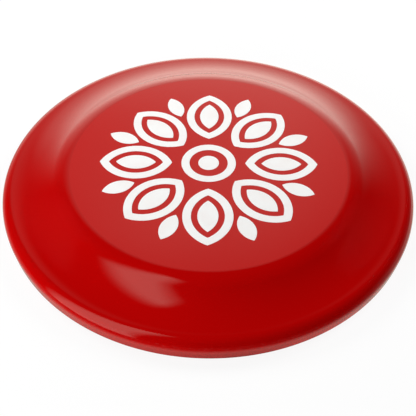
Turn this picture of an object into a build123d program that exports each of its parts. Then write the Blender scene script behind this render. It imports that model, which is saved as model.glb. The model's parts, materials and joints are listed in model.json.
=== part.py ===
from build123d import *
from math import asin, cos, degrees, radians, tan
import os

# Flying disc: one moulded shell, and the ink printed on its flight plate.
# Millimetres and degrees. +Z is up, and the origin is on the rest plane under the disc's centre.
# The shell is a solid of revolution. Its section is drawn with the radius along x and the height along y.

# ---- Shell: outer skin, from the middle to the edge ----
disc_diameter = 220.0
disc_height = 18.5        # rest plane to the top of the flight plate
plate_diameter = 147.0    # the flat flight plate
crest_radius = 20.0       # round from the plate over into the shoulder
brim_height = 11.5        # rest plane to the crease, where the brim has levelled out
lip_flat = 1.0            # level land between the crease and the lip's round
lip_radius = 5.3          # round of the lip
rim_draft = 7.5           # lean of the rim, inwards, from its widest line to its foot

# ---- Shell: inside ----
wall = 1.6                # plate, shoulder and brim
rim_thickness = 3.0       # the hanging rim, across its foot before the corners are rounded
core_draft = 1.5          # lean of the rim's inner face, which widens towards its mouth
root_radius = 2.5         # round inside, where the rim meets the brim
foot_round = 0.8          # both corners of the rim's foot
gate_diameter = 3.6       # stub left by the moulding gate under the plate's centre
gate_height = 0.5
ejector_circle = 122.0    # circle of the shallow ejector pin marks under the plate
ejector_diameter = 6.0
ejector_depth = 0.15
ejector_count = 8

# ---- Ink: a rosette of petals, leaves and darts about a ring ----
ink_thickness = 0.1
stroke = 4.3              # width of every drawn line
motif_count = 8           # petals round the rosette, and as many darts between them
petal_inner_tip = 19.5    # from the disc's centre
petal_outer_tip = 58.0
petal_width = 25.5
leaf_gap = 3.2            # bare plate between a petal's line and the leaf inside it
dart_inner_tip = 41.5
dart_outer_tip = 59.0
dart_width = 8.6
ring_diameter = 29.0
dot_diameter = 11.0

# ---- Sizes that follow from the ones above ----
disc_radius = disc_diameter / 2
plate_radius = plate_diameter / 2
lip_start = disc_radius - lip_radius         # where the lip's round begins, level
widest_height = brim_height - lip_radius     # the rim's widest line
plate_under = disc_height - wall
brim_under = brim_height - wall
cutter_overlap = 1.0                         # how far a cutter stands out of the face that it cuts


def shoulder(plate_height, first_radius, crease_radius, crease_height):
    """Edges of one skin of the shoulder, from the plate's edge to the crease, where it is level again.

    The crest, of the given first radius, starts level at the plate's edge and curves down. The sweep curves
    back and ends level at the crease, and its radius is the one at which the two rounds run into each other.
    """
    run = crease_radius - plate_radius
    drop = plate_height - crease_height
    sweep_radius = (run**2 + drop**2) / (2 * drop) - first_radius
    slope = degrees(asin(run / (first_radius + sweep_radius)))
    crest = CenterArc((plate_radius, plate_height - first_radius), first_radius, 90, -slope)
    sweep = CenterArc((crease_radius, crease_height + sweep_radius), sweep_radius, 270 - slope, slope)
    return [crest, sweep]


def shell_section():
    """Half of the shell's section, to the right of its axis."""
    outer_skin = shoulder(disc_height, crest_radius, lip_start - lip_flat, brim_height)
    lip = CenterArc((lip_start, widest_height), lip_radius, 90, -90 - rim_draft)
    lip_end = lip @ 1
    foot_outer = (lip_end.X - lip_end.Y * tan(radians(rim_draft)), 0)
    foot_inner = (foot_outer[0] - rim_thickness, 0)

    # The root's round touches the brim's underside above its centre, and the rim's leaning inner face beside it.
    root_height = brim_under - root_radius
    root_reach = root_height * tan(radians(core_draft)) + root_radius / cos(radians(core_draft))
    root_centre = (foot_inner[0] - root_reach, root_height)
    root = CenterArc(root_centre, root_radius, core_draft, 90 - core_draft)
    inner_skin = shoulder(plate_under, crest_radius - wall, root_centre[0], brim_under)

    gate_radius = gate_diameter / 2
    gate_under = plate_under - gate_height
    section = make_face(
        [
            Line((0, disc_height), (plate_radius, disc_height)),
            *outer_skin,
            Line(outer_skin[-1] @ 1, lip @ 0),
            lip,
            Line(lip_end, foot_outer),
            Line(foot_outer, foot_inner),
            Line(foot_inner, root @ 0),
            root,
            *inner_skin,
            Line(inner_skin[0] @ 0, (gate_radius, plate_under)),
            Line((gate_radius, plate_under), (gate_radius, gate_under)),
            Line((gate_radius, gate_under), (0, gate_under)),
            Line((0, gate_under), (0, disc_height)),
        ]
    )
    foot_corners = section.vertices().group_by(Axis.Y)[0]
    return fillet(foot_corners, foot_round)


def disc_body():
    """The moulded shell: the section turned about the axis, with the ejector pins' marks pressed in."""
    shell = revolve(Plane.XZ * shell_section(), Axis.Z)
    mark_centre = Pos(ejector_circle / 2, 0, plate_under + ejector_depth)
    mark = mark_centre * Cylinder(
        ejector_diameter / 2,
        ejector_depth + cutter_overlap,
        align=(Align.CENTER, Align.CENTER, Align.MAX),
    )
    step = 360 / ejector_count
    return shell - [Rot(0, 0, step * index) * mark for index in range(ejector_count)]


def pointed_oval(inner_tip, outer_tip, width, inset):
    """A leaf shape along +X between two tips, drawn by two arcs and drawn in by inset all round."""
    half_length = (outer_tip - inner_tip) / 2
    half_width = width / 2
    side_radius = (half_length**2 + half_width**2) / width
    side_offset = side_radius - half_width
    side = Circle(side_radius - inset)
    middle = inner_tip + half_length
    return (Pos(middle, side_offset) * side) & (Pos(middle, -side_offset) * side)


def printed(motif, count, first_angle):
    """Ink of a motif repeated round the disc's centre, lying on the flight plate."""
    step = 360 / count
    copies = [Rot(0, 0, first_angle + step * index) * motif for index in range(count)]
    ink = [extrude(Pos(0, 0, disc_height) * each, ink_thickness) for each in copies]
    return Compound(children=[each.solid() for each in ink])


def print_petals():
    """The petals' outlines."""
    outside = pointed_oval(petal_inner_tip, petal_outer_tip, petal_width, 0)
    inside = pointed_oval(petal_inner_tip, petal_outer_tip, petal_width, stroke)
    return printed(outside - inside, motif_count, 0)


def print_leaves():
    """The filled leaves, one inside each petal."""
    leaf = pointed_oval(petal_inner_tip, petal_outer_tip, petal_width, stroke + leaf_gap)
    return printed(leaf, motif_count, 0)


def print_darts():
    """The filled darts, one between each petal and the next."""
    dart = pointed_oval(dart_inner_tip, dart_outer_tip, dart_width, 0)
    return printed(dart, motif_count, 180 / motif_count)


def print_ring():
    """The ring about the centre."""
    ring = Circle(ring_diameter / 2) - Circle(ring_diameter / 2 - stroke)
    return printed(ring, 1, 0)


def print_dot():
    """The dot at the centre."""
    return printed(Circle(dot_diameter / 2), 1, 0)


os.makedirs("parts", exist_ok=True)
for build in (disc_body, print_petals, print_leaves, print_darts, print_ring, print_dot):
    export_step(build(), f"parts/{build.__name__}.step")
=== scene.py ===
"""Flying disc: a glossy moulded shell with a printed rosette, in a plain white studio.

Lengths are in metres. +Z is up, and the origin is on the floor under the disc's centre.
"""

import json
import logging
from dataclasses import dataclass, field
from enum import Enum
from math import asin, atan2, cos, pi, radians, sin, sqrt, tan

import bmesh
import bpy
from bmesh.types import BMEdge, BMesh, BMFace, BMVert
from bpy.types import Material, Node, NodeSocket, NodeTree, Object
from mathutils import Matrix, Vector


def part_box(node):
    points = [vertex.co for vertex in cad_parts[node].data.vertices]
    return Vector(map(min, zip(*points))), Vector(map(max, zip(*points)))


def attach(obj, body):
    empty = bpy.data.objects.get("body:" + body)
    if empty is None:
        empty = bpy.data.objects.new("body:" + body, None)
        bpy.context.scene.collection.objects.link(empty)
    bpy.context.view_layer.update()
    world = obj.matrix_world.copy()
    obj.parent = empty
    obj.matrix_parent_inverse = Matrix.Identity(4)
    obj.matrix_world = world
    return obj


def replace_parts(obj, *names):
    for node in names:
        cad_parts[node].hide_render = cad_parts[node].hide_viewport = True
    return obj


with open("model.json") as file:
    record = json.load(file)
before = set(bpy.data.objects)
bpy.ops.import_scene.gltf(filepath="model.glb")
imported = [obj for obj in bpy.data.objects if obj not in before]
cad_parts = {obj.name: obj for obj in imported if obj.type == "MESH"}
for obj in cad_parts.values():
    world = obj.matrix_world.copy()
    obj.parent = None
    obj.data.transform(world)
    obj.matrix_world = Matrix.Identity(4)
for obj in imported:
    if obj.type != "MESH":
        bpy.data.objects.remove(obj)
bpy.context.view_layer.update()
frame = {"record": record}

MM = 0.001
UP = Vector((0.0, 0.0, 1.0))
SECTION_NORMAL = Vector((0.0, -1.0, 0.0))
MERGE_DISTANCE = 1e-6
WHITE = (1.0, 1.0, 1.0, 1.0)
GLOSS_TINT = (1.0, 1.0, 0.88, 1.0)
# What the polished side shows of each channel of the pigment's colour.
POLISHED_DEPTH = (0.85, 0.2, 0.2)
LOG = logging.getLogger("flying_disc")


# ---- Drawing and joining meshes ----


class Pen:
    """Draws a chain of edges in one plane, which grows from its last vertex."""

    def __init__(self, mesh: BMesh, start: Vector, plane_normal: Vector) -> None:
        """Puts the pen down.

        Args:
            mesh: The mesh that the edges go into.
            start: Where the chain begins.
            plane_normal: Normal of the plane that the pen draws in, about which positive turns are
                anticlockwise.
        """
        self.mesh = mesh
        self.plane_normal = plane_normal
        self.tip = mesh.verts.new(start)

    def run_to(self, end: Vector) -> None:
        """Draws a straight edge.

        Args:
            end: Where the edge ends.
        """
        grown = bmesh.ops.extrude_vert_indiv(self.mesh, verts=[self.tip])
        self.tip = grown["verts"][0]
        bmesh.ops.translate(self.mesh, verts=[self.tip], vec=end - self.tip.co)

    def run_guarded(self, end: Vector, share: float) -> None:
        """Draws a straight run with a short edge at each end, which keep the shading between them flat.

        Args:
            end: Where the run ends.
            share: Length of each short edge, as a share of what is left to draw.
        """
        for part in (share, 1 - share, 1.0):
            self.run_to(self.tip.co.lerp(end, part))

    def turn_about(self, centre: Vector, angle: float, steps: int) -> None:
        """Draws an arc.

        Args:
            centre: Centre of the arc.
            angle: How far the arc turns, in radians, anticlockwise where positive.
            steps: How many edges the arc has.
        """
        swept = bmesh.ops.spin(
            self.mesh,
            geom=[self.tip],
            cent=centre,
            axis=self.plane_normal,
            angle=angle,
            steps=steps,
        )
        self.tip = next(item for item in swept["geom_last"] if isinstance(item, BMVert))


def spin_loose_edges(mesh: BMesh, steps: int) -> list[BMFace]:
    """Spins every edge that has no face yet once round the Z axis.

    Args:
        mesh: The mesh with the loose edges.
        steps: How many faces go round the axis.

    Returns:
        The new faces.
    """
    chain = [edge for edge in mesh.edges if edge.is_wire]
    ends = {vertex for edge in chain for vertex in edge.verts}
    known = set(mesh.faces)
    bmesh.ops.spin(mesh, geom=[*ends, *chain], axis=UP, angle=2 * pi, steps=steps, use_merge=True)
    return [face for face in mesh.faces if face not in known]


def finish_piece(mesh: BMesh, name: str, materials: list[Material]) -> Object:
    """Closes a mesh, turns its faces outwards and makes it an object at the origin.

    Args:
        mesh: The finished mesh, which is freed.
        name: Name of the object.
        materials: Its materials, in the order of the faces' material indices.

    Returns:
        The new object.
    """
    bmesh.ops.remove_doubles(mesh, verts=mesh.verts, dist=MERGE_DISTANCE)
    bmesh.ops.recalc_face_normals(mesh, faces=mesh.faces)
    data = bpy.data.meshes.new(name)
    mesh.to_mesh(data)
    mesh.free()
    for material in materials:
        data.materials.append(material)
    piece = bpy.data.objects.new(name, data)
    bpy.context.scene.collection.objects.link(piece)
    return piece


def draw_round_sheet(radius: float, height: float, segments: int) -> BMesh:
    """Draws a round level sheet about the Z axis.

    Args:
        radius: Radius of the sheet.
        height: Height at which it lies.
        segments: How many edges go round it.

    Returns:
        A mesh with the sheet alone.
    """
    mesh = bmesh.new()
    place = Matrix.Translation((0.0, 0.0, height))
    bmesh.ops.create_circle(mesh, cap_ends=True, radius=radius, segments=segments, matrix=place)
    return mesh


def shade_smooth(piece: Object, sharp_angle: float) -> None:
    """Shades a piece smooth, apart from its sharp edges.

    Args:
        piece: The piece.
        sharp_angle: Angle between two faces, in radians, from which their edge stays sharp.
    """
    for face in piece.data.polygons:
        face.use_smooth = True
    piece.data.set_sharp_from_angle(angle=sharp_angle)


# ---- The shell ----


class MouldSide(Enum):
    """The two halves of the mould. The values are the shell's material indices."""

    CAVITY = 0
    CORE = 1


@dataclass
class Shell:
    """The moulded shell: plate, shoulder, brim, lip and hanging rim, turned about the Z axis."""

    radius: float
    height: float
    plate_radius: float = 73.5 * MM
    crest_radius: float = 20.0 * MM
    brim_height: float = 11.5 * MM
    lip_flat: float = 1.0 * MM
    lip_radius: float = 5.3 * MM
    rim_draft: float = radians(7.5)
    wall: float = 1.6 * MM
    rim_thickness: float = 3.0 * MM
    core_draft: float = radians(1.5)
    root_radius: float = 2.5 * MM
    foot_round: float = 0.8 * MM
    gate_radius: float = 1.8 * MM
    gate_height: float = 0.5 * MM
    gate_corner: float = 0.12 * MM
    gate_dish_shares: tuple[float, float] = (0.4, 0.55)
    ejector_circle_radius: float = 61.0 * MM
    ejector_radius: float = 3.0 * MM
    ejector_depth: float = 0.15 * MM
    ejector_count: int = 8
    rub_width: float = 0.4 * MM
    # A guard is a short edge beside a round, which keeps the shading of the flat next to it flat.
    plate_guard: float = 0.3 * MM
    outer_guard_share: float = 0.08
    inner_guard_share: float = 0.06
    sharp_angle: float = radians(40)
    steps_round: int = 256
    crest_steps: int = 24
    sweep_steps: int = 36
    lip_steps: int = 40
    foot_steps: int = 8
    root_steps: int = 14
    inner_sweep_steps: int = 28
    inner_crest_steps: int = 20
    gate_corner_steps: int = 4
    small_circle_steps: int = 48

    def place(self, radius: float, height: float) -> Vector:
        """Point of the section at a radius and a height."""
        return Vector((radius, 0.0, height))

    def sweep(
        self,
        first_radius: float,
        plate_height: float,
        crease_radius: float,
        crease_height: float,
    ) -> tuple[float, float]:
        """Radius and slope of the round that leads from the crest down to the crease.

        Args:
            first_radius: Radius of the crest.
            plate_height: Height of the plate, where the crest starts level.
            crease_radius: How far out the shoulder is level again.
            crease_height: Its height there.

        Returns:
            The sweep's radius and the slope at which it takes over from the crest.
        """
        run = crease_radius - self.plate_radius
        drop = plate_height - crease_height
        sweep_radius = (run**2 + drop**2) / (2 * drop) - first_radius
        return sweep_radius, asin(run / (first_radius + sweep_radius))

    @property
    def parting_height(self) -> float:
        """Height of the mould's parting line, where the lip is widest."""
        return self.brim_height - self.lip_radius

    @property
    def plate_under(self) -> float:
        """Height of the plate's underside."""
        return self.height - self.wall

    @property
    def foot_outer(self) -> float:
        """Radius at which the rim's outer face would meet the floor without its round.

        Returns:
            The radius.
        """
        lip_end_radius = self.radius - self.lip_radius * (1 - cos(self.rim_draft))
        lip_end_height = self.brim_height - self.lip_radius * (1 + sin(self.rim_draft))
        return lip_end_radius - lip_end_height * tan(self.rim_draft)

    @property
    def foot_middle(self) -> Vector:
        """Point of the section in the middle of the foot."""
        return self.place(self.foot_outer - self.rim_thickness / 2, 0.0)

    def draw_inside(self, mesh: BMesh) -> None:
        """Draws the skin that the core forms, from the foot to the edge of the plate's flat underside.

        Args:
            mesh: The mesh that the edges go into.
        """
        pen = Pen(mesh, self.foot_middle, SECTION_NORMAL)
        lean = tan(self.core_draft)
        foot_inner = self.foot_outer - self.rim_thickness
        round_centre = foot_inner + self.foot_round * (1 / cos(self.core_draft) - lean)
        pen.run_to(self.place(round_centre, 0.0))
        pen.turn_about(self.place(round_centre, self.foot_round), self.core_draft - pi / 2, self.foot_steps)

        brim_under = self.brim_height - self.wall
        root_height = brim_under - self.root_radius
        root_centre = foot_inner - root_height * lean - self.root_radius / cos(self.core_draft)
        root_start = self.place(
            root_centre + self.root_radius * cos(self.core_draft),
            root_height + self.root_radius * sin(self.core_draft),
        )
        pen.run_guarded(root_start, self.inner_guard_share)
        pen.turn_about(self.place(root_centre, root_height), pi / 2 - self.core_draft, self.root_steps)

        inner_crest = self.crest_radius - self.wall
        sweep_radius, slope = self.sweep(inner_crest, self.plate_under, root_centre, brim_under)
        pen.turn_about(self.place(root_centre, brim_under + sweep_radius), -slope, self.inner_sweep_steps)
        crest_centre = self.place(self.plate_radius, self.plate_under - inner_crest)
        pen.turn_about(crest_centre, slope, self.inner_crest_steps)
        pen.run_to(self.place(self.plate_radius - self.plate_guard, self.plate_under))

    def draw_gate(self, mesh: BMesh) -> None:
        """Draws the stub that the gate leaves in the middle of the underside, dished where it broke off.

        Args:
            mesh: The mesh that the edges go into.
        """
        end = self.plate_under - self.gate_height
        corner = self.gate_corner
        dish_floor_radius, dish_radius = (self.gate_radius * share for share in self.gate_dish_shares)
        pen = Pen(mesh, self.place(0.0, end + corner), SECTION_NORMAL)
        pen.run_to(self.place(dish_floor_radius, end + corner))
        pen.run_to(self.place(dish_radius, end))
        pen.run_to(self.place(self.gate_radius - corner, end))
        outer_corner = self.place(self.gate_radius - corner, end + corner)
        pen.turn_about(outer_corner, pi / 2, self.gate_corner_steps)
        pen.run_to(self.place(self.gate_radius, self.plate_under - corner))
        root_corner = self.place(self.gate_radius + corner, self.plate_under - corner)
        pen.turn_about(root_corner, -pi / 2, self.gate_corner_steps)
        pen.run_to(self.place(self.gate_radius + self.plate_guard, self.plate_under))

    def close_underside(self, mesh: BMesh) -> None:
        """Closes the plate's flat underside, with a shallow round mark where each ejector pin pushed.

        Args:
            mesh: The mesh, open there between the gate and the edge of the flat.
        """
        open_edges = [edge for edge in mesh.edges if edge.is_boundary]
        rims = [edge for edge in open_edges if edge.verts[0].co.z > self.brim_height]
        known = set(mesh.edges)
        for index in range(self.ejector_count):
            turn = Matrix.Rotation(2 * pi * index / self.ejector_count, 4, UP)
            bmesh.ops.create_circle(
                mesh,
                radius=self.ejector_radius,
                segments=self.small_circle_steps,
                matrix=turn @ Matrix.Translation((self.ejector_circle_radius, 0.0, self.plate_under)),
            )
        marks = [edge for edge in mesh.edges if edge not in known]
        bmesh.ops.triangle_fill(mesh, use_beauty=True, edges=[*rims, *marks], normal=-UP)
        pressed = bmesh.ops.extrude_edge_only(mesh, edges=marks)["geom"]
        tops = [item for item in pressed if isinstance(item, BMVert)]
        bmesh.ops.translate(mesh, verts=tops, vec=UP * self.ejector_depth)
        open_ends = [item for item in pressed if isinstance(item, BMEdge) and item.is_boundary]
        bmesh.ops.holes_fill(mesh, edges=open_ends, sides=0)

    def draw_outside(self, mesh: BMesh) -> None:
        """Draws the skin that the polished half of the mould forms, from the plate's middle to the foot.

        Args:
            mesh: The mesh that the edges go into.
        """
        pen = Pen(mesh, self.place(0.0, self.height), SECTION_NORMAL)
        for quarters in (1, 2, 3):
            pen.run_to(self.place(self.plate_radius * quarters / 4, self.height))
        pen.run_to(self.place(self.plate_radius - self.plate_guard, self.height))
        pen.run_to(self.place(self.plate_radius, self.height))

        lip_start = self.radius - self.lip_radius
        crease_radius = lip_start - self.lip_flat
        sweep_radius, slope = self.sweep(self.crest_radius, self.height, crease_radius, self.brim_height)
        crest_centre = self.place(self.plate_radius, self.height - self.crest_radius)
        pen.turn_about(crest_centre, -slope, self.crest_steps)
        pen.turn_about(self.place(crease_radius, self.brim_height + sweep_radius), slope, self.sweep_steps)
        pen.run_to(self.place(lip_start, self.brim_height))
        lip_centre = self.place(lip_start, self.parting_height)
        pen.turn_about(lip_centre, -pi / 2 - self.rim_draft, self.lip_steps)

        lean = tan(self.rim_draft)
        round_centre = self.foot_outer + self.foot_round * (lean - 1 / cos(self.rim_draft))
        round_start = self.place(
            round_centre + self.foot_round * cos(self.rim_draft),
            self.foot_round * (1 - sin(self.rim_draft)),
        )
        pen.run_guarded(round_start, self.outer_guard_share)
        pen.turn_about(self.place(round_centre, self.foot_round), self.rim_draft - pi / 2, self.foot_steps)
        pen.run_to(self.foot_middle)

    def build(self, materials: dict[MouldSide, Material]) -> Object:
        """Makes the shell.

        Args:
            materials: The finish that each side of the mould leaves.

        Returns:
            The shell, at the origin.
        """
        mesh = bmesh.new()
        self.draw_inside(mesh)
        spin_loose_edges(mesh, self.steps_round)
        self.draw_gate(mesh)
        spin_loose_edges(mesh, self.small_circle_steps)
        bmesh.ops.remove_doubles(mesh, verts=mesh.verts, dist=MERGE_DISTANCE)
        self.close_underside(mesh)
        for face in mesh.faces:
            face.material_index = MouldSide.CORE.value
        self.draw_outside(mesh)
        for face in spin_loose_edges(mesh, self.steps_round):
            face.material_index = MouldSide.CAVITY.value
        shell = finish_piece(mesh, "disc_shell", [materials[side] for side in MouldSide])
        shade_smooth(shell, self.sharp_angle)
        return shell


# ---- The print ----


class Motif(Enum):
    """The printed pieces. The values are the CAD nodes that they stand for."""

    PETALS = "print_petals"
    LEAVES = "print_leaves"
    DARTS = "print_darts"
    RING = "print_ring"
    DOT = "print_dot"


@dataclass
class PointedOval:
    """A leaf shape along +X between two tips, bounded by two arcs."""

    inner_tip: float
    outer_tip: float
    width: float
    steps_per_side: int = 48

    def draw(self, mesh: BMesh, height: float, inset: float = 0.0) -> list[BMEdge]:
        """Draws the outline.

        Args:
            mesh: The mesh that the edges go into.
            height: Height at which the outline lies.
            inset: How far it is drawn in, all round.

        Returns:
            The outline's edges.
        """
        known = set(mesh.edges)
        half_length = (self.outer_tip - self.inner_tip) / 2
        half_width = self.width / 2
        side_radius = (half_length**2 + half_width**2) / self.width
        offset = side_radius - half_width
        middle = self.inner_tip + half_length
        reach = sqrt((side_radius - inset) ** 2 - offset**2)
        side_turn = pi - 2 * atan2(offset, reach)
        pen = Pen(mesh, Vector((middle + reach, 0.0, height)), UP)
        pen.turn_about(Vector((middle, -offset, height)), side_turn, self.steps_per_side)
        pen.turn_about(Vector((middle, offset, height)), side_turn, self.steps_per_side)
        drawn = {vertex for edge in mesh.edges if edge not in known for vertex in edge.verts}
        bmesh.ops.remove_doubles(mesh, verts=list(drawn), dist=MERGE_DISTANCE)
        return [edge for edge in mesh.edges if edge not in known]


@dataclass
class Rosette:
    """The ink on the plate: petals with a leaf inside each, darts between them, a ring and a dot."""

    plate_height: float
    thickness: float
    stroke: float = 4.3 * MM
    motif_count: int = 8
    petal: PointedOval = field(default_factory=lambda: PointedOval(19.5 * MM, 58.0 * MM, 25.5 * MM))
    leaf_gap: float = 3.2 * MM
    dart: PointedOval = field(default_factory=lambda: PointedOval(41.5 * MM, 59.0 * MM, 8.6 * MM))
    ring_radius: float = 14.5 * MM
    dot_radius: float = 5.5 * MM
    round_steps: int = 128
    edge_round: float = 0.03 * MM
    edge_round_steps: int = 2
    level_normal: float = 0.999

    def draw_circle(self, mesh: BMesh, radius: float) -> list[BMEdge]:
        """Draws a circle round the middle of the plate.

        Args:
            mesh: The mesh that the edges go into.
            radius: Radius of the circle.

        Returns:
            The circle's edges.
        """
        known = set(mesh.edges)
        place = Matrix.Translation((0.0, 0.0, self.plate_height))
        bmesh.ops.create_circle(mesh, radius=radius, segments=self.round_steps, matrix=place)
        return [edge for edge in mesh.edges if edge not in known]

    def lay_flat(self, mesh: BMesh, motif: Motif) -> None:
        """Lays one motif on the plate as flat faces.

        Args:
            mesh: The empty mesh that they go into.
            motif: Which motif.
        """
        height = self.plate_height
        if motif is Motif.PETALS:
            edges = self.petal.draw(mesh, height) + self.petal.draw(mesh, height, self.stroke)
            bmesh.ops.bridge_loops(mesh, edges=edges)
        elif motif is Motif.LEAVES:
            edges = self.petal.draw(mesh, height, self.stroke + self.leaf_gap)
            bmesh.ops.contextual_create(mesh, geom=edges)
        elif motif is Motif.DARTS:
            bmesh.ops.contextual_create(mesh, geom=self.dart.draw(mesh, height))
            half_step = Matrix.Rotation(pi / self.motif_count, 3, UP)
            bmesh.ops.rotate(mesh, verts=mesh.verts, matrix=half_step)
        elif motif is Motif.RING:
            edges = self.draw_circle(mesh, self.ring_radius)
            edges += self.draw_circle(mesh, self.ring_radius - self.stroke)
            bmesh.ops.bridge_loops(mesh, edges=edges)
        else:
            bmesh.ops.contextual_create(mesh, geom=self.draw_circle(mesh, self.dot_radius))

    def repeat_round(self, mesh: BMesh) -> None:
        """Repeats a motif round the middle of the plate.

        Args:
            mesh: The mesh with the first copy.
        """
        copies = self.motif_count - 1
        bmesh.ops.spin(
            mesh,
            geom=[*mesh.verts, *mesh.edges, *mesh.faces],
            axis=UP,
            angle=2 * pi * copies / self.motif_count,
            steps=copies,
            use_duplicate=True,
        )

    def give_thickness(self, mesh: BMesh) -> None:
        """Raises flat faces to the ink's thickness and rounds their upper edge.

        Args:
            mesh: The mesh of flat faces.
        """
        raised = bmesh.ops.extrude_face_region(mesh, geom=list(mesh.faces), use_keep_orig=True)["geom"]
        tops = {item for item in raised if isinstance(item, BMFace)}
        corners = [item for item in raised if isinstance(item, BMVert)]
        bmesh.ops.translate(mesh, verts=corners, vec=UP * self.thickness)
        rim = [edge for edge in mesh.edges if len(tops.intersection(edge.link_faces)) == 1]
        bmesh.ops.bevel(
            mesh,
            geom=rim,
            offset=self.edge_round,
            offset_type="OFFSET",
            segments=self.edge_round_steps,
            profile=0.5,
            affect="EDGES",
            material=-1,
            clamp_overlap=True,
        )

    def build(self, motif: Motif, material: Material) -> Object:
        """Makes one printed piece.

        Args:
            motif: Which piece.
            material: The ink's finish.

        Returns:
            The piece, at the origin.
        """
        mesh = bmesh.new()
        self.lay_flat(mesh, motif)
        if motif in (Motif.PETALS, Motif.LEAVES, Motif.DARTS):
            self.repeat_round(mesh)
        self.give_thickness(mesh)
        for face in mesh.faces:
            face.smooth = abs(face.normal.z) < self.level_normal
        return finish_piece(mesh, f"ink_{motif.name.lower()}", [material])


# ---- Nodes ----


class Bench:
    """Adds nodes to one tree and wires them up."""

    def __init__(self, tree: NodeTree) -> None:
        """Clears the tree.

        Args:
            tree: The tree of a material, a world or a group.
        """
        self.tree = tree
        tree.nodes.clear()

    def add(self, kind: str, inputs: dict | None = None, **options: object) -> Node:
        """Adds a node.

        Args:
            kind: The node's type, without its prefix.
            inputs: Values or other nodes' outputs, by the name or number of the input that they feed.
            **options: The node's own options.

        Returns:
            The node.
        """
        node = self.tree.nodes.new(f"ShaderNode{kind}")
        for name, value in options.items():
            setattr(node, name, value)
        for key, value in (inputs or {}).items():
            if isinstance(value, NodeSocket):
                self.tree.links.new(value, node.inputs[key])
            else:
                node.inputs[key].default_value = value
        return node

    def maths(self, operation: str, *values: object, clamp: bool = False) -> NodeSocket:
        """Adds a Math node.

        Args:
            operation: What it does.
            *values: One to three numbers or outputs.
            clamp: Whether the result is kept between 0 and 1.

        Returns:
            Its result.
        """
        inputs = dict(enumerate(values))
        return self.add("Math", inputs, operation=operation, use_clamp=clamp).outputs[0]

    def ramp(self, value: object, low: object, high: object, smooth: bool = True) -> NodeSocket:
        """Adds a Map Range node that climbs from 0 to 1.

        Args:
            value: What is mapped.
            low: Value at which the result is 0.
            high: Value from which it is 1.
            smooth: Whether the climb eases in and out.

        Returns:
            The result.
        """
        kind = "SMOOTHSTEP" if smooth else "LINEAR"
        inputs = {"Value": value, "From Min": low, "From Max": high}
        return self.add("MapRange", inputs, interpolation_type=kind).outputs["Result"]

    def blend(self, share: object, first: object, second: object) -> NodeSocket:
        """Mixes two colours.

        Args:
            share: Share of the second colour, from 0 to 1.
            first: The first colour.
            second: The second colour.

        Returns:
            The mixed colour.
        """
        inputs = {0: share, 6: first, 7: second}
        return self.add("Mix", inputs, data_type="RGBA").outputs[2]

    def noise(self, place: NodeSocket, scale: object, detail: float) -> NodeSocket:
        """Adds a Noise Texture.

        Args:
            place: The coordinates.
            scale: Waves per metre.
            detail: How many finer layers it has.

        Returns:
            Its factor, from 0 to 1.
        """
        inputs = {"Vector": place, "Scale": scale, "Detail": detail}
        return self.add("TexNoise", inputs).outputs[0]

    def flatten(self, place: NodeSocket) -> NodeSocket:
        """Takes the height out of a point."""
        return self.add("VectorMath", {0: place, 1: (1.0, 1.0, 0.0)}, operation="MULTIPLY").outputs[0]

    def length(self, place: NodeSocket) -> NodeSocket:
        """Distance of a point from the origin."""
        return self.add("VectorMath", {0: place}, operation="LENGTH").outputs["Value"]

    def invert(self, value: NodeSocket) -> NodeSocket:
        """What a value lacks to 1."""
        return self.maths("SUBTRACT", 1.0, value)

    def waves(self, value: NodeSocket, pitch: float) -> NodeSocket:
        """Waves of one pitch along a value, between -1 and 1."""
        return self.maths("SINE", self.maths("MULTIPLY", value, 2 * pi / pitch))

    def layers(self, base: float, *layers: tuple[NodeSocket, float]) -> NodeSocket:
        """Adds layers to a base value.

        Args:
            base: The value that the layers go on.
            *layers: Each layer's value, and the weight that it is added with.

        Returns:
            The sum.
        """
        total = base
        for mask, weight in layers:
            total = self.maths("MULTIPLY_ADD", mask, weight, total)
        return total

    def glow(self, colour: object, strength: object) -> NodeSocket:
        """Adds light of a colour and a strength."""
        return self.add("Emission", {"Color": colour, "Strength": strength}).outputs[0]

    def show(self, surface: NodeSocket, output: str = "OutputMaterial") -> None:
        """Sends a surface to the tree's output."""
        self.add(output, {"Surface": surface})


class SharedEffect(Enum):
    """Effects that several finishes use. The values are the names of their node groups."""

    GRAIN = "fine_grain"
    SCRATCHES = "handling_scratches"
    WEAR = "contact_wear"
    SOFT_EDGE = "soft_edge_of_a_light"

    def use_in(self, bench: Bench, **values: object) -> Node:
        """Places the group in a tree, and makes it first if this is its first use.

        Args:
            bench: The tree that it goes into.
            **values: The group's inputs, with underscores for spaces.

        Returns:
            The group's node.
        """
        tree = bpy.data.node_groups.get(self.value) or self.make()
        inputs = {name.replace("_", " "): value for name, value in values.items()}
        return bench.add("Group", inputs, node_tree=tree)

    def make(self) -> NodeTree:
        """Makes the group.

        Returns:
            The group's tree.
        """
        makers = {
            SharedEffect.GRAIN: make_grain,
            SharedEffect.SCRATCHES: make_scratches,
            SharedEffect.WEAR: make_wear,
            SharedEffect.SOFT_EDGE: make_soft_edge,
        }
        return makers[self](self.value)


def new_group(name: str, takes: dict[str, str], gives: dict[str, str]) -> tuple[Bench, Node]:
    """Makes an empty node group.

    Args:
        name: Name of the group.
        takes: Kind of each input socket, by its name.
        gives: Kind of each output socket, by its name.

    Returns:
        A bench for the group's tree and the node that stands for its inputs.
    """
    tree = bpy.data.node_groups.new(name, "ShaderNodeTree")
    for direction, sockets in (("INPUT", takes), ("OUTPUT", gives)):
        for socket_name, kind in sockets.items():
            tree.interface.new_socket(socket_name, in_out=direction, socket_type=f"NodeSocket{kind}")
    bench = Bench(tree)
    return bench, tree.nodes.new("NodeGroupInput")


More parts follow.
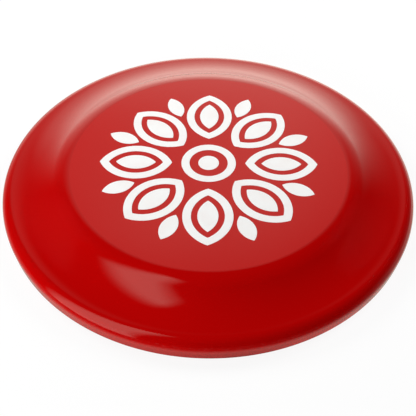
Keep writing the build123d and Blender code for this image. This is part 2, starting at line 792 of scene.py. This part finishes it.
def close_group(bench: Bench, results: dict[str, NodeSocket]) -> NodeTree:
    """Wires a group's results to its outputs.

    Args:
        bench: The group's bench.
        results: The result for each output.

    Returns:
        The group's tree.
    """
    output = bench.tree.nodes.new("NodeGroupOutput")
    for name, socket in results.items():
        bench.tree.links.new(socket, output.inputs[name])
    return bench.tree


def make_grain(name: str) -> NodeTree:
    """Makes the fine grain: a height that ripples, and a slow cloud for colour and gloss.

    Args:
        name: Name of the group.

    Returns:
        The group. Its height and cloud run from 0 to 1.
    """
    broad_fineness = 0.05
    broad_weight = 2.0
    detail = 2.0
    takes = {"Place": "Vector", "Fineness": "Float"}
    bench, given = new_group(name, takes, {"Height": "Float", "Cloud": "Float"})
    place = given.outputs["Place"]
    fineness = given.outputs["Fineness"]
    fine = bench.noise(place, fineness, detail)
    broad = bench.noise(place, bench.maths("MULTIPLY", fineness, broad_fineness), detail)
    height = bench.maths("MULTIPLY_ADD", broad, broad_weight, fine)
    height = bench.maths("DIVIDE", height, 1 + broad_weight)
    return close_group(bench, {"Height": height, "Cloud": broad})


def make_scratches(name: str) -> NodeTree:
    """Makes sparse hairline scratches that run in three directions, in patches.

    Args:
        name: Name of the group.

    Returns:
        The group. Its mask is 1 in a scratch.
    """
    turns = (0.3, 1.25, 2.4)
    drawing_out = (0.03, 1.0, 1.0)
    half_width = 0.006
    patch_fineness = 0.12
    patch_limits = (0.52, 0.68)
    detail = 1.0
    bench, given = new_group(name, {"Place": "Vector", "Fineness": "Float"}, {"Mask": "Float"})
    place = given.outputs["Place"]
    fineness = given.outputs["Fineness"]
    lines = []
    for turn in turns:
        turned = bench.add("Mapping", {"Vector": place, "Rotation": (0.0, 0.0, turn)}).outputs[0]
        drawn_out = bench.add("VectorMath", {0: turned, 1: drawing_out}, operation="MULTIPLY").outputs[0]
        value = bench.noise(drawn_out, fineness, detail)
        off_middle = bench.maths("ABSOLUTE", bench.maths("SUBTRACT", value, 0.5))
        lines.append(bench.invert(bench.ramp(off_middle, 0.0, half_width)))
    either = bench.maths("MAXIMUM", bench.maths("MAXIMUM", lines[0], lines[1]), lines[2])
    patches = bench.noise(place, bench.maths("MULTIPLY", fineness, patch_fineness), detail)
    mask = bench.maths("MULTIPLY", either, bench.ramp(patches, *patch_limits))
    return close_group(bench, {"Mask": mask})


def make_wear(name: str) -> NodeTree:
    """Makes the rub marks on what touches the ground: beyond a radius, and below a height.

    Args:
        name: Name of the group.

    Returns:
        The group. Its mask is 1 where the surface is rubbed.
    """
    patch_limits = (0.48, 0.72)
    detail = 4.0
    measures = ("Radius", "Height", "Spread", "Fineness")
    takes = {"Place": "Vector", **dict.fromkeys(measures, "Float")}
    bench, given = new_group(name, takes, {"Mask": "Float"})
    place = given.outputs["Place"]
    limit_radius, limit_height, spread, fineness = (given.outputs[measure] for measure in measures)
    height = bench.add("SeparateXYZ", {0: place}).outputs["Z"]
    radius = bench.length(bench.flatten(place))
    beyond = bench.ramp(radius, bench.maths("SUBTRACT", limit_radius, spread), limit_radius)
    below = bench.ramp(height, bench.maths("ADD", limit_height, spread), limit_height)
    broken = bench.ramp(bench.noise(place, fineness, detail), *patch_limits)
    mask = bench.maths("MULTIPLY", bench.maths("MAXIMUM", beyond, below), broken)
    return close_group(bench, {"Mask": mask})


def make_soft_edge(name: str) -> NodeTree:
    """Makes one soft edge of a light: dark before one distance along a direction, full beyond another.

    Args:
        name: Name of the group.

    Returns:
        The group.
    """
    takes = {"Place": "Vector", "Facing": "Vector", "Dark at": "Float", "Full at": "Float"}
    bench, given = new_group(name, takes, {"Light": "Float"})
    pair = {0: given.outputs["Place"], 1: given.outputs["Facing"]}
    along = bench.add("VectorMath", pair, operation="DOT_PRODUCT").outputs["Value"]
    light = bench.ramp(along, given.outputs["Dark at"], given.outputs["Full at"], smooth=False)
    return close_group(bench, {"Light": light})


def new_material(name: str) -> tuple[Material, Bench]:
    """Makes an empty node material.

    Args:
        name: Name of the material.

    Returns:
        The material and a bench for its tree.
    """
    material = bpy.data.materials.new(name)
    material.use_nodes = True
    return material, Bench(material.node_tree)


# ---- Finishes ----


def finish_surface(bench: Bench, colour: object, roughness: object, height: object, ior: float) -> None:
    """Wires the surface of a solid up to its material's output.

    Args:
        bench: The material's tree.
        colour: Its colour.
        roughness: Its roughness.
        height: Its fine relief, in metres.
        ior: Its index of refraction.
    """
    bump = bench.add("Bump", {"Height": height, "Strength": 1.0, "Distance": 1.0})
    inputs = {"Base Color": colour, "Roughness": roughness, "IOR": ior, "Normal": bump.outputs[0]}
    bench.show(bench.add("BsdfPrincipled", inputs).outputs[0])


@dataclass(frozen=True)
class MouldedPlastic:
    """Plastic coloured through, with the gloss and the marks that one side of the mould leaves. On the dull
    plate its red is also painted paler: a painted lift that stands in for light.
    """

    name: str
    colour: tuple[float, float, float]
    roughness: float
    grain_per_metre: float
    grain_depth: float
    tool_mark_depth: float
    rub_radius: float
    parting_height: float
    tool_mark_pitch: float = 0.55 * MM
    # Inside this radius the plate is dull, with rougher gloss, and its red is painted paler: a painted lift
    # that stands in for the brighter light on the flat plate.
    matt_and_lift_radius: float = 0.0
    matt_and_lift_border: float = 0.3 * MM
    plate_painted_lift: float = 1.1
    matt_roughness: float = 0.05
    colour_drift: float = 0.04
    drift_limits: tuple[float, float] = (0.3, 0.7)
    gloss_drift: float = 0.2
    scratch_per_metre: float = 420.0
    scratch_depth: float = 0.4e-6
    scratch_roughness: float = 0.10
    rub_height: float = 0.2 * MM
    rub_spread: float = 0.9 * MM
    rub_per_metre: float = 900.0
    rub_roughness: float = 0.12
    dust_share: float = 0.2
    dust_red: float = 1.12
    dust_grey: float = 0.02
    parting_width: float = 0.16 * MM
    parting_step: float = 12e-6
    ior: float = 1.5

    def make(self) -> Material:
        """Makes the material.

        Returns:
            The material.
        """
        material, bench = new_material(self.name)
        place = bench.add("TexCoord").outputs["Object"]
        grain = SharedEffect.GRAIN.use_in(bench, Place=place, Fineness=self.grain_per_metre)
        marks = SharedEffect.SCRATCHES.use_in(bench, Place=place, Fineness=self.scratch_per_metre)
        scratches = marks.outputs["Mask"]
        wear = SharedEffect.WEAR.use_in(
            bench,
            Place=place,
            Radius=self.rub_radius,
            Height=self.rub_height,
            Spread=self.rub_spread,
            Fineness=self.rub_per_metre,
        )
        rub = wear.outputs["Mask"]
        radius = bench.length(bench.flatten(place))
        matt_and_painted_lift = bench.ramp(radius, self.matt_and_lift_radius + self.matt_and_lift_border, self.matt_and_lift_radius - self.matt_and_lift_border)

        # The pale copy of the red is painted light: the plate is painted paler to stand in for the brighter
        # light on it. The rougher gloss there is the plate's real finish.
        full, deep, painted_pale = (
            (*(channel * level for channel in self.colour), 1.0)
            for level in (1.0, 1 - self.colour_drift, self.plate_painted_lift)
        )
        red, green, blue = self.colour
        dusty = (red * self.dust_red, green + self.dust_grey, blue + self.dust_grey, 1.0)
        drifted = bench.blend(bench.ramp(grain.outputs["Cloud"], *self.drift_limits), full, deep)
        clean = bench.blend(matt_and_painted_lift, drifted, painted_pale)
        colour = bench.blend(bench.maths("MULTIPLY", rub, self.dust_share), clean, dusty)

        roughness = bench.layers(
            self.roughness * (1 - self.gloss_drift),
            (grain.outputs["Cloud"], self.roughness * 2 * self.gloss_drift),
            (matt_and_painted_lift, self.matt_roughness),
            (scratches, self.scratch_roughness),
            (rub, self.rub_roughness),
        )

        rise = bench.add("SeparateXYZ", {0: place}).outputs["Z"]
        off_parting = bench.maths("ABSOLUTE", bench.maths("SUBTRACT", rise, self.parting_height))
        height = bench.layers(
            0.0,
            (grain.outputs["Height"], self.grain_depth),
            (bench.waves(radius, self.tool_mark_pitch), self.tool_mark_depth),
            (scratches, -self.scratch_depth),
            (bench.invert(bench.ramp(off_parting, 0.0, self.parting_width)), self.parting_step),
        )
        finish_surface(bench, colour, roughness, height, self.ior)
        return material


@dataclass(frozen=True)
class ScreenInk:
    """Opaque ink pressed through a woven screen."""

    name: str
    colour: tuple[float, float, float]
    roughness: float = 0.42
    gloss_drift: float = 0.06
    thin_tint: tuple[float, float, float] = (0.985, 0.955, 0.95)
    thin_limits: tuple[float, float] = (0.35, 0.75)
    screen_pitch: float = 0.25 * MM
    screen_turn: float = radians(22.5)
    screen_depth: float = 0.8e-6
    grain_per_metre: float = 2200.0
    grain_depth: float = 2.0e-6
    scratch_per_metre: float = 300.0
    scratch_gloss: float = 0.1
    ior: float = 1.48

    def make(self) -> Material:
        """Makes the material.

        Returns:
            The material.
        """
        material, bench = new_material(self.name)
        place = bench.add("TexCoord").outputs["Object"]
        grain = SharedEffect.GRAIN.use_in(bench, Place=place, Fineness=self.grain_per_metre)
        marks = SharedEffect.SCRATCHES.use_in(bench, Place=place, Fineness=self.scratch_per_metre)
        thin = tuple(channel * share for channel, share in zip(self.colour, self.thin_tint))
        thinness = bench.ramp(grain.outputs["Cloud"], *self.thin_limits)
        colour = bench.blend(thinness, (*self.colour, 1.0), (*thin, 1.0))
        roughness = bench.layers(
            self.roughness - self.gloss_drift,
            (grain.outputs["Cloud"], 2 * self.gloss_drift),
            (marks.outputs["Mask"], -self.scratch_gloss),
        )

        turned = bench.add("Mapping", {"Vector": place, "Rotation": (0.0, 0.0, self.screen_turn)})
        threads = bench.add("SeparateXYZ", {0: turned.outputs[0]}).outputs
        across = bench.waves(threads["X"], self.screen_pitch)
        along = bench.waves(threads["Y"], self.screen_pitch)
        height = bench.layers(
            0.0,
            (grain.outputs["Height"], self.grain_depth),
            (bench.maths("MULTIPLY", across, along), self.screen_depth),
        )
        finish_surface(bench, colour, roughness, height, self.ior)
        return material


# ---- The studio ----


@dataclass(frozen=True)
class SoftEdge:
    """One soft edge of a patch of light: the way it faces, in degrees, and where it is dark and full."""

    facing: float
    dark_at: float
    full_at: float


@dataclass(frozen=True)
class SoftBox:
    """A patch of light: its brightness, and the soft edges that bound it."""

    brightness: float
    edges: tuple[SoftEdge, ...]


def add_soft_boxes(bench: Bench, place: NodeSocket, boxes: tuple[SoftBox, ...]) -> NodeSocket:
    """Adds the patches of light up.

    Args:
        bench: The tree that shows them.
        place: A point of the flat on which their edges lie.
        boxes: The patches.

    Returns:
        The brightness at the point.
    """
    total = 0.0
    for box in boxes:
        light = box.brightness
        for edge in box.edges:
            facing = (cos(radians(edge.facing)), sin(radians(edge.facing)), 0.0)
            side = SharedEffect.SOFT_EDGE.use_in(
                bench,
                Place=place,
                Facing=facing,
                Dark_at=edge.dark_at,
                Full_at=edge.full_at,
            )
            light = bench.maths("MULTIPLY", side.outputs["Light"], light)
        total = bench.maths("ADD", total, light)
    return total


@dataclass
class Tent:
    """The dark half sphere round the set, with the soft boxes' faces on it. Only gloss shows it.

    Their edges lie on a flat chart of the sky. Its centre is straight overhead, and the distance from it is
    the angle from there in degrees.
    """

    boxes: tuple[SoftBox, ...]
    radius: float = 3.0
    segments: int = 96
    rings: int = 48

    def make_material(self) -> Material:
        """Makes the tent's own light.

        Returns:
            The material.
        """
        material, bench = new_material("studio_tent")
        place = bench.add("TexCoord").outputs["Object"]
        outward = bench.add("VectorMath", {0: place}, operation="NORMALIZE").outputs[0]
        rise = bench.add("SeparateXYZ", {0: outward}).outputs["Z"]
        from_overhead = bench.maths("MULTIPLY", bench.maths("ARCCOSINE", rise), 180 / pi)
        heading = bench.add("VectorMath", {0: bench.flatten(outward)}, operation="NORMALIZE").outputs[0]
        chart = bench.add("VectorMath", {0: heading, "Scale": from_overhead}, operation="SCALE").outputs[0]
        bench.show(bench.glow(GLOSS_TINT, add_soft_boxes(bench, chart, self.boxes)))
        material.cycles.emission_sampling = "NONE"
        return material

    def build(self) -> Object:
        """Makes the tent.

        Returns:
            The tent, which neither the camera nor the diffuse light meets.
        """
        mesh = bmesh.new()
        bmesh.ops.create_uvsphere(
            mesh,
            u_segments=self.segments,
            v_segments=self.rings,
            radius=self.radius,
        )
        sphere = [*mesh.verts, *mesh.edges, *mesh.faces]
        bmesh.ops.bisect_plane(mesh, geom=sphere, dist=MERGE_DISTANCE, plane_no=UP, clear_inner=True)
        tent = finish_piece(mesh, "studio_tent", [self.make_material()])
        tent.visible_camera = False
        tent.visible_diffuse = False
        tent.visible_shadow = False
        return tent


@dataclass
class Floor:
    """The white floor. It stays plain white to the camera and keeps a soft shadow of the disc.

    In the gloss it shows pools of light behind the disc, whose edges are in metres on the floor. Beyond the
    pools' reach the floor stays as bright as it is there. A narrow glow runs round the disc's foot, and is
    weaker where the foot stands on the floor. On one side the floor next to the foot throws light at the
    rim.
    """

    radius: float = 12.0
    segments: int = 96
    albedo: float = 0.92
    near_share: float = 0.9
    near_radius: float = 0.35
    far_radius: float = 0.9
    clearance: float = 0.02 * MM
    dim: float = 0.03
    pools: tuple[SoftBox, ...] = (
        SoftBox(1.54, (SoftEdge(96.0, -0.110, 0.092), SoftEdge(-2.0, -0.275, 0.066))),
        SoftBox(0.69, (SoftEdge(164.0, 0.0, 0.118), SoftEdge(56.0, 0.063, 0.131))),
    )
    pool_reach: float = 0.3
    foot_glow: float = 0.42
    foot_glow_radii: tuple[float, float] = (0.114, 0.125)
    contact_share: float = 0.7
    contact_radii: tuple[float, float] = (0.1105, 0.1125)
    rim_bounce: SoftBox = SoftBox(1.5, (SoftEdge(320.0, 0.085, 0.108),))

    def glow_in_gloss(self, bench: Bench, place: NodeSocket) -> NodeSocket:
        """Brightness of the floor as the gloss sees it.

        Args:
            bench: The floor's tree.
            place: A point of the floor.

        Returns:
            The brightness there.
        """
        distance = bench.length(place)
        fall = bench.ramp(distance, *self.foot_glow_radii)
        rise = bench.ramp(distance, *self.contact_radii)
        contact = bench.maths("MULTIPLY_ADD", rise, 1 - self.contact_share, self.contact_share)
        foot = bench.maths("MULTIPLY_ADD", fall, -self.foot_glow, self.foot_glow)
        held = bench.maths("DIVIDE", bench.maths("MINIMUM", distance, self.pool_reach), distance)
        within = bench.add("VectorMath", {0: place, "Scale": held}, operation="SCALE").outputs[0]
        pools = add_soft_boxes(bench, within, self.pools)
        level = bench.maths("MULTIPLY", bench.maths("ADD", foot, pools), contact)
        return bench.maths("ADD", level, self.dim)

    def make_material(self) -> Material:
        """Makes the floor's finish: white paper under an even white, and nothing at all from below.

        Returns:
            The material.
        """
        material, bench = new_material("studio_floor")
        rays = bench.add("LightPath").outputs
        place = bench.add("TexCoord").outputs["Object"]
        distance = bench.length(place)
        away = bench.ramp(distance, self.near_radius, self.far_radius)
        share = bench.maths("MULTIPLY_ADD", away, 1 - self.near_share, self.near_share)
        seen = bench.maths("ADD", rays["Is Camera Ray"], rays["Is Transmission Ray"], clamp=True)
        factor = bench.maths("MAXIMUM", bench.maths("MULTIPLY", seen, share), rays["Is Glossy Ray"])
        colour = bench.blend(rays["Is Glossy Ray"], WHITE, GLOSS_TINT)
        beyond_white = bench.maths("SUBTRACT", self.glow_in_gloss(bench, place), 1.0)
        strength = bench.maths("MULTIPLY_ADD", rays["Is Glossy Ray"], beyond_white, 1.0)
        next_to_foot = bench.invert(bench.ramp(distance, *self.foot_glow_radii))
        bounce = bench.maths("MULTIPLY", add_soft_boxes(bench, place, (self.rim_bounce,)), next_to_foot)
        bounce = bench.maths("MULTIPLY", bounce, rays["Is Diffuse Ray"])
        sheet = bench.add("BsdfDiffuse", {"Color": (self.albedo, self.albedo, self.albedo, 1.0)})
        paper = bench.add("AddShader", {0: sheet.outputs[0], 1: bench.glow(WHITE, bounce)})
        top = bench.add("MixShader", {0: factor, 1: paper.outputs[0], 2: bench.glow(colour, strength)})
        below = bench.add("NewGeometry").outputs["Backfacing"]
        clear = bench.add("BsdfTransparent")
        surface = bench.add("MixShader", {0: below, 1: top.outputs[0], 2: clear.outputs[0]})
        bench.show(surface.outputs[0])
        material.cycles.emission_sampling = "NONE"
        return material

    def build(self) -> Object:
        """Makes the floor, a hair below the disc's foot.

        Returns:
            The floor.
        """
        mesh = draw_round_sheet(self.radius, -self.clearance, self.segments)
        floor = finish_piece(mesh, "studio_floor", [self.make_material()])
        if floor.data.polygons[0].normal.z < 0:
            floor.data.flip_normals()
        return floor


@dataclass
class UndersideCard:
    """A bright card in the hollow under the disc, which lights the underside alone."""

    radius: float = 95.0 * MM
    height: float = 0.3 * MM
    brightness: float = 1.0
    segments: int = 64

    def build(self) -> Object:
        """Makes the card.

        Returns:
            The card, which the camera doesn't see.
        """
        material, bench = new_material("underside_card")
        bench.show(bench.glow(WHITE, self.brightness))
        mesh = draw_round_sheet(self.radius, self.height, self.segments)
        card = finish_piece(mesh, "underside_card", [material])
        card.visible_camera = False
        return card


@dataclass(frozen=True)
class KeyLamp:
    """A round soft lamp for the diffuse light, aimed at the disc. The gloss doesn't show it."""

    name: str
    azimuth: float
    elevation: float
    power: float
    distance: float = 0.6
    size: float = 0.3

    def build(self) -> Object:
        """Hangs the lamp.

        Returns:
            The lamp.
        """
        light = bpy.data.lights.new(self.name, "AREA")
        light.shape = "DISK"
        light.size = self.size
        light.energy = self.power
        lamp = bpy.data.objects.new(self.name, light)
        bpy.context.scene.collection.objects.link(lamp)
        swing = Matrix.Rotation(self.azimuth + pi / 2, 4, "Z")
        tilt = Matrix.Rotation(pi / 2 - self.elevation, 4, "X")
        lamp.matrix_world = swing @ tilt @ Matrix.Translation((0.0, 0.0, self.distance))
        lamp.visible_camera = False
        lamp.visible_glossy = False
        return lamp


@dataclass(frozen=True)
class Viewpoint:
    """The camera, in front of the disc and above it."""

    distance: float = 0.4047
    elevation: float = radians(44.8)
    tilt_down: float = radians(1.6)
    roll: float = radians(0.83)
    lens: float = 63.47
    sensor_width: float = 36.0
    clip_start: float = 0.01
    clip_end: float = 100.0

    def build(self) -> Object:
        """Places the camera and makes it the scene's.

        Returns:
            The camera.
        """
        data = bpy.data.cameras.new("camera")
        data.lens = self.lens
        data.sensor_width = self.sensor_width
        data.clip_start = self.clip_start
        data.clip_end = self.clip_end
        camera = bpy.data.objects.new("camera", data)
        bpy.context.scene.collection.objects.link(camera)
        stand = Vector((0.0, -cos(self.elevation), sin(self.elevation))) * self.distance
        pitch = pi / 2 - self.elevation - self.tilt_down
        turn = Matrix.Rotation(pitch, 4, "X") @ Matrix.Rotation(self.roll, 4, "Z")
        camera.matrix_world = Matrix.Translation(stand) @ turn
        bpy.context.scene.camera = camera
        return camera


@dataclass
class Studio:
    """The white set: floor, tent, underside card, lamps, world and camera."""

    ambient: float = 0.02
    lamps: tuple[KeyLamp, ...] = (
        KeyLamp("right_soft_box", azimuth=radians(30), elevation=radians(42), power=2.3),
        KeyLamp("left_soft_box", azimuth=radians(150), elevation=radians(42), power=2.6),
        KeyLamp("low_soft_box", azimuth=radians(230), elevation=radians(16), power=2.6),
    )

    def light_world(self) -> None:
        """Makes the world plain white where it is seen, and nearly dark to the diffuse light."""
        world = bpy.data.worlds.new("studio_world")
        world.use_nodes = True
        bpy.context.scene.world = world
        bench = Bench(world.node_tree)
        rays = bench.add("LightPath").outputs
        seen = bench.maths("ADD", rays["Is Camera Ray"], rays["Is Glossy Ray"])
        seen = bench.maths("ADD", seen, rays["Is Transmission Ray"], clamp=True)
        ambient = (self.ambient, self.ambient, self.ambient, 1.0)
        colour = bench.blend(seen, ambient, WHITE)
        background = bench.add("Background", {"Color": colour, "Strength": 1.0})
        bench.show(background.outputs[0], "OutputWorld")

    def soft_boxes(self) -> tuple[SoftBox, ...]:
        """The soft boxes' faces on the tent, as the gloss shows them.

        Returns:
            Three behind the disc, one on its left, and a faint fill on either side.
        """
        back_wall = SoftBox(
            1.39,
            (SoftEdge(89.0, 37.0, 73.0), SoftEdge(131.0, -39.0, 23.0), SoftEdge(91.0, 36.0, 67.0)),
        )
        back_panel = SoftBox(
            1.85,
            (
                SoftEdge(144.0, 9.0, 40.0),
                SoftEdge(17.0, -20.0, 43.0),
                SoftEdge(95.0, 51.0, 57.5),
                SoftEdge(264.0, -95.0, -81.0),
            ),
        )
        back_strip = SoftBox(
            0.72,
            (
                SoftEdge(56.0, 16.0, 30.0),
                SoftEdge(171.0, -16.0, 0.7),
                SoftEdge(97.0, 31.0, 41.0),
                SoftEdge(306.0, -55.0, -36.0),
            ),
        )
        left_panel = SoftBox(
            1.45,
            (
                SoftEdge(152.7, 3.8, 11.0),
                SoftEdge(200.0, 4.6, 8.0),
                SoftEdge(286.3, -15.4, -8.8),
                SoftEdge(296.0, -19.8, -8.2),
            ),
        )
        left_fill = SoftBox(
            0.14,
            (SoftEdge(174.0, 62.0, 102.0), SoftEdge(84.0, -9.0, 32.0), SoftEdge(271.0, -76.0, -44.0)),
        )
        right_fill = SoftBox(0.22, (SoftEdge(21.5, 60.0, 90.0), SoftEdge(63.0, -12.0, 9.0)))
        return back_wall, back_panel, back_strip, left_panel, left_fill, right_fill

    def build(self) -> None:
        """Builds the set."""
        Floor().build()
        Tent(self.soft_boxes()).build()
        UndersideCard().build()
        for lamp in self.lamps:
            lamp.build()
        self.light_world()
        Viewpoint().build()


# ---- Putting it together ----


def slot_colour(slot: str) -> tuple[float, float, float]:
    """Base colour of one of the record's material slots."""
    material = next(entry for entry in frame["record"]["materials"] if entry["slot"] == slot)
    return tuple(material["base_color"])


def corners(bounds: object) -> list[list[float]]:
    """The two corners of a box as plain lists of numbers."""
    return [[float(value) for value in corner] for corner in bounds]


def make_shell_finishes(form: Shell) -> dict[MouldSide, Material]:
    """Makes the finishes that the two sides of the mould leave on the shell.

    The polished side is rubbed at the lip and the foot, and the satin side at the foot alone.

    Args:
        form: The shell's form.

    Returns:
        The material for each side.
    """
    red = slot_colour("red_plastic")
    polished_red = tuple(channel * share for channel, share in zip(red, POLISHED_DEPTH))
    polished = MouldedPlastic(
        "polished_red_plastic",
        polished_red,
        roughness=0.07,
        grain_per_metre=260.0,
        grain_depth=3.0e-6,
        tool_mark_depth=0.0,
        rub_radius=form.radius - form.rub_width,
        parting_height=form.parting_height,
        matt_and_lift_radius=form.plate_radius,
    )
    satin = MouldedPlastic(
        "satin_red_plastic",
        red,
        roughness=0.26,
        grain_per_metre=1400.0,
        grain_depth=6.0e-6,
        tool_mark_depth=0.5e-6,
        rub_radius=2 * form.radius,
        parting_height=form.parting_height,
    )
    return {MouldSide.CAVITY: polished.make(), MouldSide.CORE: satin.make()}


def main() -> None:
    """Builds the disc and its studio, and reports each piece."""
    logging.basicConfig(level=logging.INFO, format="%(name)s: %(message)s")
    lowest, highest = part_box("disc_body")
    form = Shell(radius=highest.x, height=highest.z - lowest.z)
    shell = form.build(make_shell_finishes(form))
    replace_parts(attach(shell, "root"), "disc_body")
    LOG.info("%s: %d faces", shell.name, len(shell.data.polygons))

    ink = ScreenInk("white_screen_ink", slot_colour("white_ink")).make()
    ink_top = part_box(Motif.RING.value)[1].z
    rosette = Rosette(plate_height=highest.z, thickness=ink_top - highest.z)
    for motif in Motif:
        piece = rosette.build(motif, ink)
        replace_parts(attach(piece, "root"), motif.value)
        LOG.info("%s: %d faces", piece.name, len(piece.data.polygons))

    Studio().build()
    bpy.context.scene.view_settings.view_transform = "Standard"


if __name__ == "__main__":
    main()
